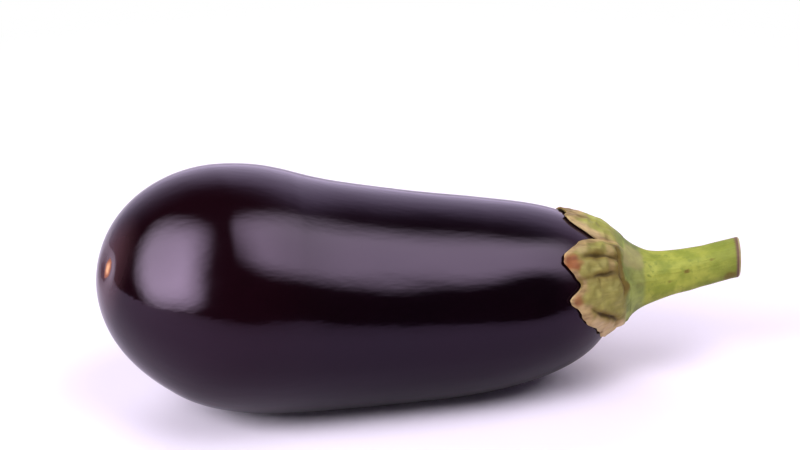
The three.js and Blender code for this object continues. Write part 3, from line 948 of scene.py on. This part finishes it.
def hang_lamp(name, at, target, along, size, radiance, rounding=None, slope=None):
    """Hangs a light, or with a rounding and a slope a softbox that shows in reflections alone."""
    back = (Vector(at) - Vector(target)).normalized()
    across = Vector(along) - Vector(along).dot(back) * back
    across.normalize()
    turn = Matrix((across, back.cross(across), back)).transposed()
    light = bpy.data.lights.new(name, "AREA")
    light.shape = "RECTANGLE"
    light.size, light.size_y = size
    light.energy = radiance * size[0] * size[1] * math.pi
    lamp = bpy.data.objects.new(name, light)
    bpy.context.collection.objects.link(lamp)
    lamp.matrix_world = Matrix.Translation(Vector(at)) @ turn.to_4x4()
    mirrored = rounding is not None
    lamp.visible_glossy = mirrored
    lamp.visible_diffuse = not mirrored
    if mirrored:
        fade_to_rim(light, rounding, slope)


def fade_to_rim(light, rounding, slope):
    """Gives a softbox its rounded, soft rim, and makes it brighter to one side."""
    light.use_nodes = True
    tree = light.node_tree
    tree.nodes.clear()
    place = add(tree, "ShaderNodeNewGeometry", {}, "Parametric")
    centred = add(tree, "ShaderNodeVectorMath", {0: place, 1: (2, 2, 0), 2: (-1, -1, 0)},
                  operation="MULTIPLY_ADD")
    out = add(tree, "ShaderNodeVectorMath", {0: centred}, operation="ABSOLUTE")
    parts = add(tree, "ShaderNodeSeparateXYZ", {0: out}).node.outputs
    powers = [add(tree, "ShaderNodeMath", {0: parts[i], 1: rounding}, operation="POWER") for i in (0, 1)]
    both = add(tree, "ShaderNodeMath", {0: powers[0], 1: powers[1]}, operation="ADD")
    rounded = add(tree, "ShaderNodeMath", {0: both, 1: 1 / rounding}, operation="POWER")
    glow = add(tree, "ShaderNodeMapRange", {"Value": rounded, "From Min": 1, "From Max": FULL_BRIGHT},
               **SMOOTH)
    slant = add(tree, "ShaderNodeVectorMath", {0: centred, 1: (*slope, 0)}, "Value", operation="DOT_PRODUCT")
    strength = add(tree, "ShaderNodeMath", {0: slant, 1: glow, 2: glow}, operation="MULTIPLY_ADD")
    emission = add(tree, "ShaderNodeEmission", {"Color": "#ffffff", "Strength": strength})
    add(tree, "ShaderNodeOutputLight", {"Surface": emission})


def light_room():
    """Hangs the lamps in a white surround that the skin mirrors as a dark room with a bright backdrop."""
    for lamp in LAMPS:
        hang_lamp(**lamp)
    world = bpy.data.worlds.new("white surround")
    bpy.context.scene.world = world
    world.use_nodes = True
    tree = world.node_tree
    tree.nodes.clear()

    # The backdrop stands behind, reaches almost overhead, and is duller and narrower to the left.
    facing = add(tree, "ShaderNodeTexCoord", {}, "Generated")
    parts = add(tree, "ShaderNodeSeparateXYZ", {0: facing}).node.outputs
    narrower = add(tree, "ShaderNodeMapRange", {"Value": parts["X"], "From Min": 0.4, "From Max": -0.2,
                                                "To Max": 0.4}, "Result")
    back = add(tree, "ShaderNodeMath", {0: parts["Y"], 1: narrower}, operation="SUBTRACT")
    behind = add(tree, "ShaderNodeMapRange", {"Value": back, "From Min": -0.05, "From Max": 0.94}, **SMOOTH)
    low = add(tree, "ShaderNodeMapRange", {"Value": parts["Z"], "From Min": 0.99, "From Max": 0.6}, **SMOOTH)
    right = add(tree, "ShaderNodeMapRange", {"Value": parts["X"], "From Min": -0.7, "From Max": -0.1,
                                             "To Min": 0.7}, "Result")
    backdrop = add(tree, "ShaderNodeMath", {0: behind, 1: low}, operation="MULTIPLY")
    backdrop = add(tree, "ShaderNodeMath", {0: backdrop, 1: right}, operation="MULTIPLY")
    surround = add(tree, "ShaderNodeMix", {SHARE: backdrop, FIRST: "#020102", SECOND: "#ecdcff"}, **COLOURS)

    # Reflections see the backdrop, surfaces are lit evenly, and the camera sees white.
    mirrored = add(tree, "ShaderNodeBackground", {"Color": surround, "Strength": BACKDROP_SHINE})
    ambient = add(tree, "ShaderNodeBackground", {"Color": "#efd2ff", "Strength": AMBIENT})
    seen = add(tree, "ShaderNodeBackground", {"Color": "#ffffff", "Strength": 1.0})
    glossy = add(tree, "ShaderNodeLightPath", {}, "Is Glossy Ray")
    direct = add(tree, "ShaderNodeLightPath", {}, "Is Camera Ray")
    unseen = add(tree, "ShaderNodeMixShader", {0: glossy, 1: ambient, 2: mirrored})
    shown = add(tree, "ShaderNodeMixShader", {0: direct, 1: unseen, 2: seen})
    add(tree, "ShaderNodeOutputWorld", {"Surface": shown})


def place_camera():
    camera = bpy.data.objects.new("camera", bpy.data.cameras.new("camera"))
    bpy.context.collection.objects.link(camera)
    camera.data.sensor_fit = "HORIZONTAL"
    camera.data.angle = math.radians(CAMERA_FIELD)
    camera.data.clip_start = CAMERA_NEAREST
    camera.location = CAMERA_AT
    view = Vector(CAMERA_TARGET) - Vector(CAMERA_AT)
    camera.rotation_euler = view.to_track_quat("-Z", "Y").to_euler()
    bpy.context.scene.camera = camera
    bpy.context.scene.view_settings.view_transform = "Standard"


place_camera()

fruit = make_fruit()
fruit.data.materials.append(waxed_skin())
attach(fruit, "root")
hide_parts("fruit")

calyx = make_calyx()
calyx.data.materials.append(leathery_calyx())
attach(calyx, "root")
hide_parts("calyx_and_stem")

make_floor()
light_room()
